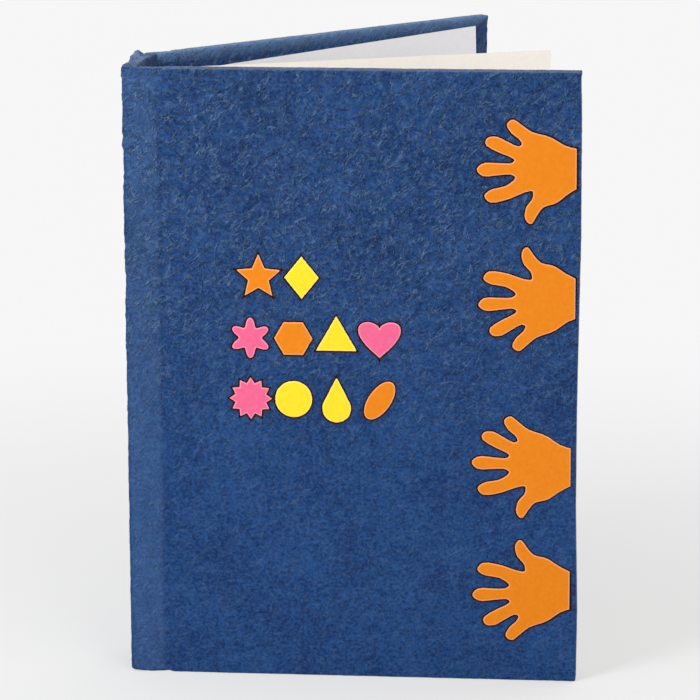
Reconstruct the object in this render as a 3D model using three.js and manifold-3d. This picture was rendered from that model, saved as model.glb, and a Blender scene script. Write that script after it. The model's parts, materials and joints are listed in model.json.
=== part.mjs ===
// A small hardcover notebook that stands on its tail edge with its covers apart.
// Millimetres, +Z up from tail to head, +X from the spine to the front cover's fore-edge,
// +Y from the front cover to the back one. The front cover lies in the XZ plane.
import * as THREE from 'three';
import { mergeVertices } from 'three/addons/utils/BufferGeometryUtils.js';
import Module from 'manifold-3d';

const wasm = await Module();
wasm.setup();

// Case: two covers and a spine
const COVER_HEIGHT = 154;
const COVER_WIDTH = 112.2;        // spine edge to fore-edge, joint included
const SPINE_WIDTH = 24;           // between the outer faces of the closed covers
const BOARD_THICKNESS = 2.9;
const SPINE_BOARD_THICKNESS = 2.4;
const CARD_THICKNESS = 1.5;       // the die-cut layer over the front board
const PAPER_THICKNESS = 0.3;      // covering paper
const JOINT_FLAT = 8.6;           // limp strip beside the spine
const GROOVE_WIDTH = 2.2;
const GROOVE_DEPTH = 0.7;
const EDGE_RADIUS = 0.6;          // where the paper goes round a board's edge
const TURN_IN = 15;               // covering paper folded over the inside
const GLUE_LINE = 0.1;            // between glued layers
const CLEARANCE = 0.3;            // between pieces that move past each other

// Book block
const SQUARE = 3;                 // how far the covers stand out past the leaves
const LEAF_WIDTH = 105;
const LEAF_THICKNESS = 0.25;
const SIGNATURES = 8;
const LINING_THICKNESS = 0.2;     // lining, gauze and tapes on the block's back
const HOLLOW = 0.3;               // between the spine's turn-in and the lining
const BINDING_INSET = 4;          // lining and gauze stop short of the leaves' ends
const TAPE_WIDTH = 10;
const TAPE_HEIGHTS = [46, 108];   // above the tail edge
const STITCH_INSET = 12;          // kettle stitches, from each end of the leaves
const STITCH_WIDTH = 1.2;

// Pastedowns
const PASTEDOWN_MARGIN = 2.2;     // blue left bare at the fore-edge
const BACK_PASTEDOWN_SKEW = THREE.MathUtils.degToRad(1.6);

// Windows and what lies in them
const INLAY_CLEARANCE = 0.3;      // between a card figure and its window
const INLAY_RECESS = 0.15;        // below the cover's face
const WRIST_BORDER = 0.5;         // least blue border between a hand's window and the fore-edge
const HAND_REACH = 25;            // fore-edge to the middle fingertip
const HAND_FULLNESS = 0.2;        // how far the card stands outside the hand's drawn line
const FIGURE_RADIUS = 5.4;
const FIGURE_PITCH = 10.7;        // from one figure to the next in a row
const FIGURE_ROW_PITCH = 15.4;
const FIGURES_LEFT = 31.1;        // spine edge to the first column's middle
const FIGURES_RISE = 25.4;        // the top row above the cover's middle

// How far the covers and the last leaf are open at rest
const BACK_COVER_ANGLE = THREE.MathUtils.degToRad(43.5);
const BACK_FLYLEAF_ANGLE = THREE.MathUtils.degToRad(21.2);

const JOINT_WIDTH = JOINT_FLAT + GROOVE_WIDTH;
const WRAP = PAPER_THICKNESS + GLUE_LINE;
const FRONT_THICKNESS = 2 * WRAP + CARD_THICKNESS + GLUE_LINE + BOARD_THICKNESS;
const BACK_THICKNESS = 2 * WRAP + BOARD_THICKNESS;
const LEAF_HEIGHT = COVER_HEIGHT - 2 * SQUARE;
const BOARD_START = JOINT_WIDTH + GLUE_LINE;
const BOARD_END = COVER_WIDTH - WRAP;
const PASTEDOWN_THICKNESS = LEAF_THICKNESS;
const HINGE_RADIUS = PAPER_THICKNESS / 2;
const SPINE_INSET = PAPER_THICKNESS + CLEARANCE;
const SPINE_BOARD_INSET = WRAP + PAPER_THICKNESS + CLEARANCE;
const SPINE_INNER = 2 * WRAP + SPINE_BOARD_THICKNESS;
const LINING_X = SPINE_INNER + HOLLOW;
const GAUZE_X = LINING_X + LINING_THICKNESS + GLUE_LINE;
const TAPE_X = GAUZE_X + LINING_THICKNESS + GLUE_LINE;
const BLOCK_X = TAPE_X + LINING_THICKNESS + GLUE_LINE;

// The closed book's leaves fill the space between the pastedowns
const ENDPAPERS = GLUE_LINE + PASTEDOWN_THICKNESS + CLEARANCE + LEAF_THICKNESS + CLEARANCE;
const BLOCK_FRONT = FRONT_THICKNESS + ENDPAPERS;
const BLOCK_DEPTH = SPINE_WIDTH - BACK_THICKNESS - ENDPAPERS - BLOCK_FRONT;
const SIGNATURE_PITCH = (BLOCK_DEPTH + CLEARANCE) / SIGNATURES;
const SIGNATURE_THICKNESS = SIGNATURE_PITCH - CLEARANCE;

// Solids from closed geometries, and back
function solid(geometry) {
  const bare = geometry.index ? geometry.toNonIndexed() : geometry.clone();
  bare.deleteAttribute('normal');
  bare.deleteAttribute('uv');
  const merged = mergeVertices(bare, 1e-4);
  return new wasm.Manifold(new wasm.Mesh({
    numProp: 3,
    vertProperties: new Float32Array(merged.attributes.position.array),
    triVerts: new Uint32Array(merged.index.array),
  }));
}

function geometryOf(manifold) {
  const mesh = manifold.getMesh();
  const geometry = new THREE.BufferGeometry();
  geometry.setAttribute('position', new THREE.BufferAttribute(mesh.vertProperties, 3));
  geometry.setIndex(new THREE.BufferAttribute(mesh.triVerts, 1));
  const faceted = geometry.toNonIndexed();
  faceted.computeVertexNormals();
  return faceted;
}

function block(x0, x1, y0, y1, z0, z1) {
  const geometry = new THREE.BoxGeometry(x1 - x0, y1 - y0, z1 - z0);
  return geometry.translate((x0 + x1) / 2, (y0 + y1) / 2, (z0 + z1) / 2);
}

// A plan outline drawn up from z0 to z1
function upright(shape, z0, z1) {
  const settings = { depth: z1 - z0, bevelEnabled: false, curveSegments: 8 };
  return new THREE.ExtrudeGeometry(shape, settings).translate(0, 0, z0);
}

// An outline on the cover's face (x, z), cut through from y0 to y1
function through(points, y0, y1) {
  const settings = { depth: y1 - y0, bevelEnabled: false };
  const geometry = new THREE.ExtrudeGeometry(new THREE.Shape(points), settings);
  return geometry.rotateX(Math.PI / 2).translate(0, y1, 0);
}

// How far a point is from a closed outline
function distanceTo(points, point) {
  return Math.min(...points.map((start, i) => {
    const along = points[(i + 1) % points.length].clone().sub(start);
    const share = point.clone().sub(start).dot(along) / along.lengthSq();
    const nearest = start.clone().addScaledVector(along, THREE.MathUtils.clamp(share, 0, 1));
    return point.distanceTo(nearest);
  }));
}

// Moves each side of a closed anticlockwise outline outwards by a distance. Where a notch is
// too narrow for that, its points would cross over, and they are left out.
function outset(points, distance) {
  const moved = points.map((point, i) => {
    const before = points.at(i - 1);
    const after = points[(i + 1) % points.length];
    const a = point.clone().sub(before).normalize();
    const b = after.clone().sub(point).normalize();
    const outward = new THREE.Vector2(a.y + b.y, -a.x - b.x);
    return outward.multiplyScalar(distance / (1 + a.dot(b))).add(point);
  });
  return moved.filter((point) => distanceTo(points, point) > 0.99 * distance);
}

function anticlockwise(points) {
  return THREE.ShapeUtils.isClockWise(points) ? points.reverse() : points;
}

// One open hand that reaches in from the fore-edge: how far in, and how high. From past the
// wrist's upper side over the little finger to the thumb, in steps that the reach fixes.
const HAND = [
  [-2, 5], [3.2, 5.8], [7.4, 8.1], [11.8, 9.3],
  [14.6, 11.2], [16.4, 12.3], [17.7, 11.2], [16.6, 9.2], [14.6, 7.6],
  [14, 6.3], [15, 5.7],
  [17.9, 6.9], [20.3, 8], [22.4, 7.8], [22.9, 6.4], [19.6, 4.4], [17, 3.4],
  [15.8, 2.5], [16.5, 1.6],
  [19.6, 1.5], [23.6, 1.4], [25, 0], [23.6, -1.4], [19.5, -1.1], [16.6, -1],
  [15.5, -1.9],
  [17.8, -4], [21.8, -5.2], [23.1, -6.5], [21.9, -7.9], [17.8, -7.2], [13.4, -5.3],
  [11.4, -5],
  [11.3, -6.9], [12.9, -9.3], [13.1, -12], [11.9, -13.2], [10.4, -10.9], [8.9, -9],
  [5.8, -7.9], [2.9, -5.6], [-2, -2.6],
];
const HAND_STEPS = 110;

// Where each hand's middle line starts, as a share of its reach: past the fore-edge, and
// above the cover's middle. Every other hand is turned over, thumb up. The lower two stop
// a little sooner at the wrist.
const HANDS = [
  { past: 0, rise: 2.12, thumb: 'down', turn: 0, short: 0 },
  { past: 0.016, rise: 0.876, thumb: 'up', turn: 6, short: 0 },
  { past: -0.04, rise: -0.888, thumb: 'down', turn: -3.5, short: 0.03 },
  { past: -0.032, rise: -2.1, thumb: 'up', turn: 5.7, short: 0.03 },
];

function handOutline({ past, rise, thumb, turn, short }) {
  const scale = HAND_REACH / Math.max(...HAND.map(([reach]) => reach));
  const flip = thumb === 'up' ? -scale : scale;
  const knots = HAND.map(([reach, height]) => new THREE.Vector3(-reach * scale, height * flip, 0));
  const smooth = new THREE.CatmullRomCurve3(knots, false, 'centripetal').getPoints(HAND_STEPS);
  const border = WRIST_BORDER + INLAY_CLEARANCE + HAND_FULLNESS + short * HAND_REACH;
  const wristEnd = COVER_WIDTH - border;
  const start = new THREE.Vector2(
    COVER_WIDTH + past * HAND_REACH, COVER_HEIGHT / 2 + rise * HAND_REACH);
  const own = new THREE.Vector2();
  const placed = smooth.map((p) => new THREE.Vector2(p.x, p.y)
    .rotateAround(own, THREE.MathUtils.degToRad(turn)).add(start));
  const first = placed.findIndex((p) => p.x < wristEnd);
  const last = placed.findLastIndex((p) => p.x < wristEnd);
  const cut = (a, b) => a.clone().lerp(b, (wristEnd - a.x) / (b.x - a.x));
  const upper = cut(placed[first], placed[first - 1]);
  const lower = cut(placed[last], placed[last + 1]);
  const hand = anticlockwise([upper, ...placed.slice(first, last + 1), lower]);
  return outset(hand, HAND_FULLNESS);
}

// Plain figures by formula, about their own centre, within a unit circle
const turns = (count, make) => (
  Array.from({ length: count }, (_, i) => make((2 * Math.PI * i) / count, i)));
const polar = (angle, r) => new THREE.Vector2(r * Math.sin(angle), r * Math.cos(angle));

// A circle of radius r at the unit circle's foot, and the two tangents from its top
function drop(r) {
  const touch = Math.acos(r / (2 - r));
  const round = Array.from({ length: 25 }, (_, i) => touch + ((2 * Math.PI - 2 * touch) * i) / 24);
  const foot = new THREE.Vector2(0, r - 1);
  return [new THREE.Vector2(0, 1), ...round.map((a) => polar(a, r).add(foot))];
}

const FIGURES = {
  star: () => turns(10, (a, i) => polar(a, i % 2 ? 0.46 : 1)),
  diamond: () => turns(4, (a, i) => polar(a, i % 2 ? 0.8 : 1)),
  flower: () => turns(60, (a) => polar(a, 0.78 + 0.22 * Math.cos(6 * a))),
  triangle: () => turns(3, (a) => polar(a, 1)),
  hexagon: () => turns(6, (a) => polar(a + Math.PI / 6, 0.95)),
  drop: () => drop(0.62),
  heart: () => turns(44, (a) => new THREE.Vector2(
    0.95 * Math.sin(a) ** 3,
    0.13 + 0.8 * Math.cos(a) - 0.3 * Math.cos(2 * a) - 0.12 * Math.cos(3 * a))),
  leaf: () => turns(40, (a) => new THREE.Vector2(0.5 * Math.sin(a), Math.cos(a))
    .rotateAround(new THREE.Vector2(), -0.6)),
  burst: () => turns(24, (a, i) => polar(a, i % 2 ? 0.74 : 1)),
  disc: () => turns(32, (a) => polar(a, 1)),
};

const ORANGE = 0xf5911e;
const YELLOW = 0xffe52e;
const PINK = 0xec6a92;
const BLUE = 0x34527c;
const GREYBOARD = 0x8f8a80;
const CREAM = 0xefece2;
const COOL_WHITE = 0xe4e3e6;
const KRAFT = 0xb08d62;
const LINEN = 0xd8cfb8;

// Ten figures in three rows
const FIGURE_PLACES = [
  { figure: 'star', row: 0, column: 0.2, size: 1.1, color: ORANGE },
  { figure: 'diamond', row: 0, column: 1.2, size: 1, color: YELLOW },
  { figure: 'flower', row: 1, column: 0, size: 0.96, color: PINK },
  { figure: 'hexagon', row: 1, column: 1, size: 0.94, color: ORANGE },
  { figure: 'triangle', row: 1, column: 2, size: 1.1, color: YELLOW },
  { figure: 'heart', row: 1, column: 3, size: 1.04, color: PINK },
  { figure: 'burst', row: 2, column: 0, size: 1, color: PINK },
  { figure: 'disc', row: 2, column: 1, size: 0.86, color: YELLOW },
  { figure: 'drop', row: 2, column: 2, size: 1.08, color: YELLOW },
  { figure: 'leaf', row: 2, column: 3, size: 1.04, color: ORANGE },
];

function figureOutline({ figure, row, column, size }) {
  const centre = new THREE.Vector2(
    FIGURES_LEFT + column * FIGURE_PITCH,
    COVER_HEIGHT / 2 + FIGURES_RISE - row * FIGURE_ROW_PITCH);
  const place = (p) => p.multiplyScalar(FIGURE_RADIUS * size).add(centre);
  return anticlockwise(FIGURES[figure]().map(place));
}

const INLAYS = [
  ...HANDS.map((place, i) => (
    { name: `hand_inlay_${i + 1}`, color: ORANGE, outline: handOutline(place) })),
  ...FIGURE_PLACES.map((place) => (
    { name: `${place.figure}_inlay`, color: place.color, outline: figureOutline(place) })),
];
const WINDOWS = INLAYS.map(({ outline }) => outset(outline, INLAY_CLEARANCE));

// Materials
const paint = (color, roughness) => (
  new THREE.MeshStandardMaterial({ color, roughness, metalness: 0 }));
const coverPaper = () => paint(BLUE, 0.75);

function piece(name, source, material) {
  const geometry = source.isBufferGeometry ? source : geometryOf(source);
  const mesh = new THREE.Mesh(geometry, material);
  mesh.name = name;
  return mesh;
}

// A cover in its own frame: x from the hinge edge to the fore-edge, y inwards from the outer
// face. The paper's plan profile runs from its rounded hinge end along the joint, down and up
// through the groove, over the board, round the fore-edge and back along the turn-in.
function coverProfile(thickness) {
  const p = PAPER_THICKNESS;
  const grooveMiddle = JOINT_FLAT + GROOVE_WIDTH / 2;
  const shape = new THREE.Shape();
  shape.moveTo(HINGE_RADIUS, 0);
  shape.lineTo(JOINT_FLAT, 0);
  shape.quadraticCurveTo(grooveMiddle, 2 * GROOVE_DEPTH, JOINT_WIDTH, 0);
  shape.lineTo(COVER_WIDTH, 0);
  shape.lineTo(COVER_WIDTH, thickness);
  shape.lineTo(COVER_WIDTH - TURN_IN, thickness);
  shape.lineTo(COVER_WIDTH - TURN_IN, thickness - p);
  shape.lineTo(COVER_WIDTH - p, thickness - p);
  shape.lineTo(COVER_WIDTH - p, p);
  shape.lineTo(JOINT_WIDTH, p);
  shape.quadraticCurveTo(grooveMiddle, p + 2 * GROOVE_DEPTH, JOINT_FLAT, p);
  shape.lineTo(HINGE_RADIUS, p);
  shape.absarc(HINGE_RADIUS, HINGE_RADIUS, HINGE_RADIUS, Math.PI / 2, -Math.PI / 2, false);
  return shape;
}

// The covering paper: profile, folds over head and tail, all with rounded outer edges
function coverPaperSolid(thickness, windows) {
  const p = PAPER_THICKNESS;
  const jointLayerX = SPINE_INNER + CLEARANCE;
  let paper = solid(upright(coverProfile(thickness), 0, COVER_HEIGHT));
  for (const [edge, fold] of [[0, 1], [COVER_HEIGHT, -1]]) {
    const [low, high] = [edge, edge + fold * p].sort((a, b) => a - b);
    const [innerLow, innerHigh] = [edge, edge + fold * TURN_IN].sort((a, b) => a - b);
    paper = paper
      .add(solid(block(JOINT_WIDTH - p, COVER_WIDTH, 0, thickness, low, high)))
      .add(solid(block(JOINT_WIDTH - p, COVER_WIDTH, thickness - p, thickness, innerLow, innerHigh)))
      .add(solid(block(jointLayerX, JOINT_WIDTH, 0, p + WRAP, low, high)))
      .add(solid(block(jointLayerX, JOINT_WIDTH - p, WRAP, p + WRAP, innerLow, innerHigh)));
  }
  const bevel = {
    depth: thickness - 2 * EDGE_RADIUS, bevelEnabled: true, bevelSegments: 3,
    bevelSize: EDGE_RADIUS, bevelThickness: EDGE_RADIUS, bevelOffset: -EDGE_RADIUS,
  };
  const past = 4 * EDGE_RADIUS;
  const face = [[-past, 0], [COVER_WIDTH, 0], [COVER_WIDTH, COVER_HEIGHT], [-past, COVER_HEIGHT]]
    .map(([x, z]) => new THREE.Vector2(x, z));
  const rounded = new THREE.ExtrudeGeometry(new THREE.Shape(face), bevel)
    .rotateX(Math.PI / 2).translate(0, thickness - EDGE_RADIUS, 0);
  paper = paper.intersect(solid(rounded));
  for (const outline of windows) {
    paper = paper.subtract(solid(through(outline, -p, p + GLUE_LINE / 2)));
  }
  return paper;
}

function boardBlock(y0, thickness) {
  return block(BOARD_START, BOARD_END, y0, y0 + thickness, WRAP, COVER_HEIGHT - WRAP);
}

function pastedown(thickness, skew) {
  const width = COVER_WIDTH - PASTEDOWN_MARGIN - BOARD_START;
  const height = LEAF_HEIGHT;
  const y0 = thickness + GLUE_LINE;
  const sheet = block(-width / 2, width / 2, y0, y0 + PASTEDOWN_THICKNESS, -height / 2, height / 2);
  return sheet.rotateY(skew).translate(BOARD_START + width / 2, 0, COVER_HEIGHT / 2);
}

function frontCover() {
  const cover = new THREE.Group();
  const paper = coverPaperSolid(FRONT_THICKNESS, WINDOWS);
  cover.add(piece('front_cover_paper', paper, coverPaper()));
  let card = solid(boardBlock(WRAP, CARD_THICKNESS));
  for (const outline of WINDOWS) {
    card = card.subtract(solid(through(outline, 0, WRAP + 2 * CARD_THICKNESS)));
  }
  cover.add(piece('front_diecut_card', card, paint(GREYBOARD, 0.9)));
  const boardY = WRAP + CARD_THICKNESS + GLUE_LINE;
  cover.add(piece('front_board', boardBlock(boardY, BOARD_THICKNESS), paint(GREYBOARD, 0.9)));
  for (const { name, color, outline } of INLAYS) {
    const figure = through(outline, INLAY_RECESS, WRAP + CARD_THICKNESS);
    cover.add(piece(name, solid(figure), paint(color, 0.6)));
  }
  cover.add(piece('front_pastedown', pastedown(FRONT_THICKNESS, 0), paint(CREAM, 0.85)));
  return cover;
}

// The back cover is built like the front one, turned over, and its hinge group opens it.
function backCover() {
  const flat = new THREE.Group();
  flat.add(piece('back_cover_paper', coverPaperSolid(BACK_THICKNESS, []), coverPaper()));
  flat.add(piece('back_board', boardBlock(WRAP, BOARD_THICKNESS), paint(GREYBOARD, 0.9)));
  const sheet = pastedown(BACK_THICKNESS, BACK_PASTEDOWN_SKEW);
  flat.add(piece('back_pastedown', sheet, paint(COOL_WHITE, 0.85)));
  flat.rotation.x = Math.PI;
  flat.position.set(-HINGE_RADIUS, HINGE_RADIUS, COVER_HEIGHT);
  const hinge = new THREE.Group();
  hinge.add(flat);
  hinge.position.set(HINGE_RADIUS, SPINE_WIDTH - HINGE_RADIUS, 0);
  hinge.rotation.z = BACK_COVER_ANGLE;
  return hinge;
}

// The spine: a board, and the covering paper folded over its head and tail
function spine() {
  const p = PAPER_THICKNESS;
  const skin = [SPINE_INSET, SPINE_WIDTH - SPINE_INSET];
  const body = [SPINE_BOARD_INSET, SPINE_WIDTH - SPINE_BOARD_INSET];
  let paper = solid(block(0, p, ...skin, 0, COVER_HEIGHT));
  for (const [edge, fold] of [[0, 1], [COVER_HEIGHT, -1]]) {
    const [low, high] = [edge, edge + fold * p].sort((a, b) => a - b);
    const [innerLow, innerHigh] = [edge, edge + fold * TURN_IN].sort((a, b) => a - b);
    paper = paper
      .add(solid(block(0, SPINE_INNER, ...body, low, high)))
      .add(solid(block(SPINE_INNER - p, SPINE_INNER, ...body, innerLow, innerHigh)));
  }
  const boardEnd = WRAP + SPINE_BOARD_THICKNESS;
  const board = block(WRAP, boardEnd, ...body, WRAP, COVER_HEIGHT - WRAP);
  const group = new THREE.Group();
  group.add(piece('spine_paper', paper, coverPaper()));
  group.add(piece('spine_board', board, paint(GREYBOARD, 0.9)));
  return group;
}

// What holds the folded sections together along their backs
function bindings() {
  const group = new THREE.Group();
  const [y0, y1] = [BLOCK_FRONT, BLOCK_FRONT + BLOCK_DEPTH];
  const low = SQUARE + BINDING_INSET;
  const high = COVER_HEIGHT - low;
  const lining = block(LINING_X, LINING_X + LINING_THICKNESS, y0, y1, low, high);
  group.add(piece('spine_lining', lining, paint(KRAFT, 0.9)));
  const gauze = block(GAUZE_X, GAUZE_X + LINING_THICKNESS, y0, y1, low, high);
  group.add(piece('spine_gauze', gauze, paint(LINEN, 0.95)));
  const onBack = (z0, z1) => block(TAPE_X, TAPE_X + LINING_THICKNESS, y0, y1, z0, z1);
  TAPE_HEIGHTS.forEach((z, i) => {
    const tape = onBack(z - TAPE_WIDTH / 2, z + TAPE_WIDTH / 2);
    group.add(piece(`sewing_tape_${i + 1}`, tape, paint(LINEN, 0.95)));
  });
  const stitches = { tail: SQUARE + STITCH_INSET, head: COVER_HEIGHT - SQUARE - STITCH_INSET };
  for (const [end, z] of Object.entries(stitches)) {
    const stitch = onBack(z - STITCH_WIDTH / 2, z + STITCH_WIDTH / 2);
    group.add(piece(`kettle_stitch_${end}`, stitch, paint(LINEN, 0.9)));
  }
  return group;
}

// Leaves whose folded edge is round about the line they turn on, so that they can fan out
function leaves(name, thickness, middleY, angle, color) {
  const r = thickness / 2;
  const plan = new THREE.Shape();
  plan.absarc(0, 0, r, Math.PI / 2, 1.5 * Math.PI, false);
  plan.lineTo(LEAF_WIDTH - r, -r);
  plan.lineTo(LEAF_WIDTH - r, r);
  plan.closePath();
  const mesh = piece(name, upright(plan, SQUARE, COVER_HEIGHT - SQUARE), paint(color, 0.9));
  mesh.position.set(BLOCK_X + r, middleY, 0);
  mesh.rotation.z = angle;
  return mesh;
}

function bookBlock() {
  const group = new THREE.Group();
  const halfLeaf = LEAF_THICKNESS / 2;
  const first = BLOCK_FRONT - CLEARANCE - halfLeaf;
  const last = BLOCK_FRONT + BLOCK_DEPTH + CLEARANCE + halfLeaf;
  group.add(leaves('front_flyleaf', LEAF_THICKNESS, first, 0, CREAM));
  for (let i = 0; i < SIGNATURES; i += 1) {
    const middle = BLOCK_FRONT + i * SIGNATURE_PITCH + SIGNATURE_THICKNESS / 2;
    group.add(leaves(`signature_${i + 1}`, SIGNATURE_THICKNESS, middle, 0, CREAM));
  }
  group.add(leaves('back_flyleaf', LEAF_THICKNESS, last, BACK_FLYLEAF_ANGLE, CREAM));
  return group;
}

const parts = new THREE.Group();
parts.add(spine(), frontCover(), backCover(), bindings(), bookBlock());

// The origin is on the floor, under the middle of the standing book
const bounds = new THREE.Box3().setFromObject(parts, true);
const middle = bounds.getCenter(new THREE.Vector3());
parts.position.set(-middle.x, -middle.y, -bounds.min.z);

export default parts;
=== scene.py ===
"""A small die-cut notebook that stands with its covers apart, dressed around its frame.

Metres, in the frame's axes: +Z up, +X from the spine to the fore-edge, and the front cover's
outer face looks along -Y.
"""

import json
from math import ceil, cos, hypot, log, pi, radians, sin

import bmesh
import bpy
import numpy as np
from mathutils import Matrix, Vector
from mathutils.geometry import delaunay_2d_cdt
from numpy.linalg import norm


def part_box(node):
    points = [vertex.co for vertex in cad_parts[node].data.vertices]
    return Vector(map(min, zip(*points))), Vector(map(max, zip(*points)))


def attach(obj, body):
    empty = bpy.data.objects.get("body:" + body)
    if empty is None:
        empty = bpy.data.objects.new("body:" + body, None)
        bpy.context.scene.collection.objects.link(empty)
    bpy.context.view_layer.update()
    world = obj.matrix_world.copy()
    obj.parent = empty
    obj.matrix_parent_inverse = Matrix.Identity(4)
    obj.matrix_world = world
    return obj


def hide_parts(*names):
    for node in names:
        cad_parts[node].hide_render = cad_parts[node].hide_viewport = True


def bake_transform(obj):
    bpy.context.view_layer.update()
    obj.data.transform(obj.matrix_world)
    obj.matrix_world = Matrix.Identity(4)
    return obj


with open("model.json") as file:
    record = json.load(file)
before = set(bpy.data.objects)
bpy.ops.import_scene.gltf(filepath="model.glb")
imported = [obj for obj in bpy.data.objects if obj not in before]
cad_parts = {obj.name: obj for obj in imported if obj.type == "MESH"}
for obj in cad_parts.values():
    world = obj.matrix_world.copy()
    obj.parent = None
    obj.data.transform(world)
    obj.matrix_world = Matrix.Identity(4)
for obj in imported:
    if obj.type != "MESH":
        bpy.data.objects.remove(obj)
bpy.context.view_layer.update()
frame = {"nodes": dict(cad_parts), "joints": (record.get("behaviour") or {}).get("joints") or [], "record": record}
MM = 0.001


def put_in(name, data):
    made = bpy.data.objects.new(name, data)
    bpy.context.scene.collection.objects.link(made)
    return made


# Camera
VIEW_AZIMUTH = radians(5.31)
VIEW_ELEVATION = radians(13.01)
VIEW_DISTANCE = 0.940
VIEW_ROLL = radians(-0.21)
LENS = 195.7
AIM_HEIGHT = 84.4 * MM
AIM_LEFT = 0.2 * MM
CLIP_START = 0.05
CLIP_END = 50


def add_camera():
    low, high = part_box("front_cover_paper")
    target = Vector(((low.x + high.x) / 2 - AIM_LEFT, low.y, AIM_HEIGHT))
    back = Vector((
        sin(VIEW_AZIMUTH) * cos(VIEW_ELEVATION),
        -cos(VIEW_AZIMUTH) * cos(VIEW_ELEVATION),
        sin(VIEW_ELEVATION),
    ))
    turn = (-back).to_track_quat("-Z", "Y").to_matrix() @ Matrix.Rotation(VIEW_ROLL, 3, "Z")
    data = bpy.data.cameras.new("camera")
    data.lens = LENS
    data.clip_start = CLIP_START
    data.clip_end = CLIP_END
    camera = put_in("camera", data)
    camera.matrix_world = Matrix.Translation(target + back * VIEW_DISTANCE) @ turn.to_4x4()
    bpy.context.scene.camera = camera


# The covers' form
# How far the strip over a corner of the spine reaches, both ways
SEAM = 4.4 * MM
# The joint's thickness, and where before the board it grows to the board's
JOINT_LAYERS = 0.72 * MM
BOARD_RAMP = (1.1 * MM, 0.3 * MM)
# The joint's face lies in a little, with a groove, and comes out again at the board
JOINT_SINK = 0.5 * MM
SUNK_AT = 8 * MM
JOINT_RISE = (9 * MM, 10.8 * MM)
GROOVE_MIDDLE = 9.5 * MM
GROOVE_WIDTH = 0.85 * MM
GROOVE_DEPTH = 0.7 * MM
# Where the folded paper in each joint thins out, along the cover and down from the head
HEAD_PADS = {
    "front": ((9.6 * MM, 10.6 * MM), (0.4 * MM, 2.8 * MM)),
    "back": ((10.4 * MM, 11.2 * MM), (2 * MM, 6 * MM)),
}
SPINE_LOW, SPINE_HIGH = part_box("spine_paper")
SPINE_DEPTH = SPINE_HIGH.x - SPINE_LOW.x
UP = np.array([0.0, 0.0, 1.0])
# In a cover's own axes
INWARD = np.array([0.0, 1.0, 0.0])


def corners(node):
    return np.array([v.co for v in frame["nodes"][node].data.vertices])


def smooth(value, start, end):
    """0 before start, 1 past end, smooth between."""
    t = np.clip((value - start) / (end - start), 0, 1)
    return t * t * (3 - 2 * t)


class Cover:
    """A cover's own axes: x from its hinge edge to the fore-edge, y in from the outer face."""

    def __init__(self, name, inward, side):
        paper = corners(f"{name}_cover_paper")
        board = corners(f"{name}_board")
        self.name = name
        self.inward = np.array(inward)
        self.along = side * np.array([inward[1], -inward[0], 0])
        self.side = side
        across, deep = paper @ self.along, paper @ self.inward
        self.width = np.ptp(across)
        self.height = np.ptp(paper[:, 2])
        self.thickness = np.ptp(deep)
        self.origin = self.along * across.min() + self.inward * deep.min()
        self.board_start = self.own(board)[:, 0].min()
        rise = (SPINE_LOW.x - self.origin[0]) * self.inward[0] / self.inward[1]
        self.corner = np.array([SPINE_LOW.x, self.origin[1] - rise, 0])
        self.seam = SEAM + (self.corner - self.origin) @ self.along
        self.to_spine = np.array([0.0, side, 0.0])

    def place(self, points):
        """Points in the cover's own axes, in the frame's."""
        x, y, z = np.asarray(points).T
        flat = np.outer(x, self.along) + np.outer(y, self.inward) + self.origin
        flat[:, 2] += z
        return flat

    def own(self, points):
        """Points in the frame's axes, in the cover's own."""
        moved = np.asarray(points) - self.origin
        return np.stack([moved @ self.along, moved @ self.inward, moved[:, 2]], axis=1)

    def sheet(self, x, z):
        """Where a point of the face lies on the flat sheet."""
        past = x - self.seam + SEAM
        across = past if self.side > 0 else -SPINE_WIDTH - past
        return np.stack([across, z], axis=-1)

    def sunk(self, x):
        """How far the outer face lies in from the board's plane: the joint and its groove."""
        groove = GROOVE_DEPTH * np.exp(-(((x - GROOVE_MIDDLE) / GROOVE_WIDTH) ** 2))
        return groove + JOINT_SINK * smooth(x, SEAM, SUNK_AT) * (1 - smooth(x, *JOINT_RISE))

    def depth(self, x, distance=0.0):
        """How deep the folded sheet is, by the distance from head or tail."""
        across, down = HEAD_PADS[self.name]
        pad = (1 - smooth(x, *across)) * (1 - smooth(distance, *down))
        board = smooth(x, *(self.board_start - before for before in BOARD_RAMP))
        return JOINT_LAYERS + np.maximum(
            (SPINE_DEPTH - JOINT_LAYERS) * pad, (self.thickness - JOINT_LAYERS) * board)


# Covering paper
# Distances of its points: outside, inside, on the spine and on the spine's corners
STEP = 0.6 * MM
COARSE = 5 * MM
SPINE_STEP = 0.5 * MM
CORNER_STEP = 0.35 * MM
PAPER = 0.28 * MM
EDGE_RADIUS = 0.6 * MM
TURN_IN = 15 * MM
RING_STEPS = np.linspace(0, 1, 13) * TURN_IN
# Rows on each bend of a fold and on the wall between them
BEND_ROWS = 4
WALL_ROWS = 6
CORNER_RADIUS = 0.9 * MM
CORNER_FAN = 5
SHARP = radians(55)
# Between these heights the crinkles grow stronger
LIVELY = (45 * MM, 115 * MM)

back_mount = next(m for m in frame["record"]["mounts"] if m["name"] == "back_face")
FRONT = Cover("front", (0, 1, 0), 1)
BACK = Cover("back", [-c for c in back_mount["axis"]], -1)
HEIGHT = FRONT.height
SPINE_WIDTH = BACK.corner[1] - FRONT.corner[1]


# Relief of the crumpled paper, and its wear with painted highlights on raised veins and ridges, in cells over the
# flat sheet
CELL = 0.25 * MM
MARGIN = 9 * MM
# So much of the far side is left out, so that every place has a next cell
FAR_SIDE = 1.001
CRUMPLE_SEED = 11
# Fine grain, in millimetres: strength, size across and size along
GRAINS = [(0.035, 0.35, 0.7), (0.040, 0.7, 1.5), (0.040, 3, 5)]
GRAIN_TURN = radians(42)
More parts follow.
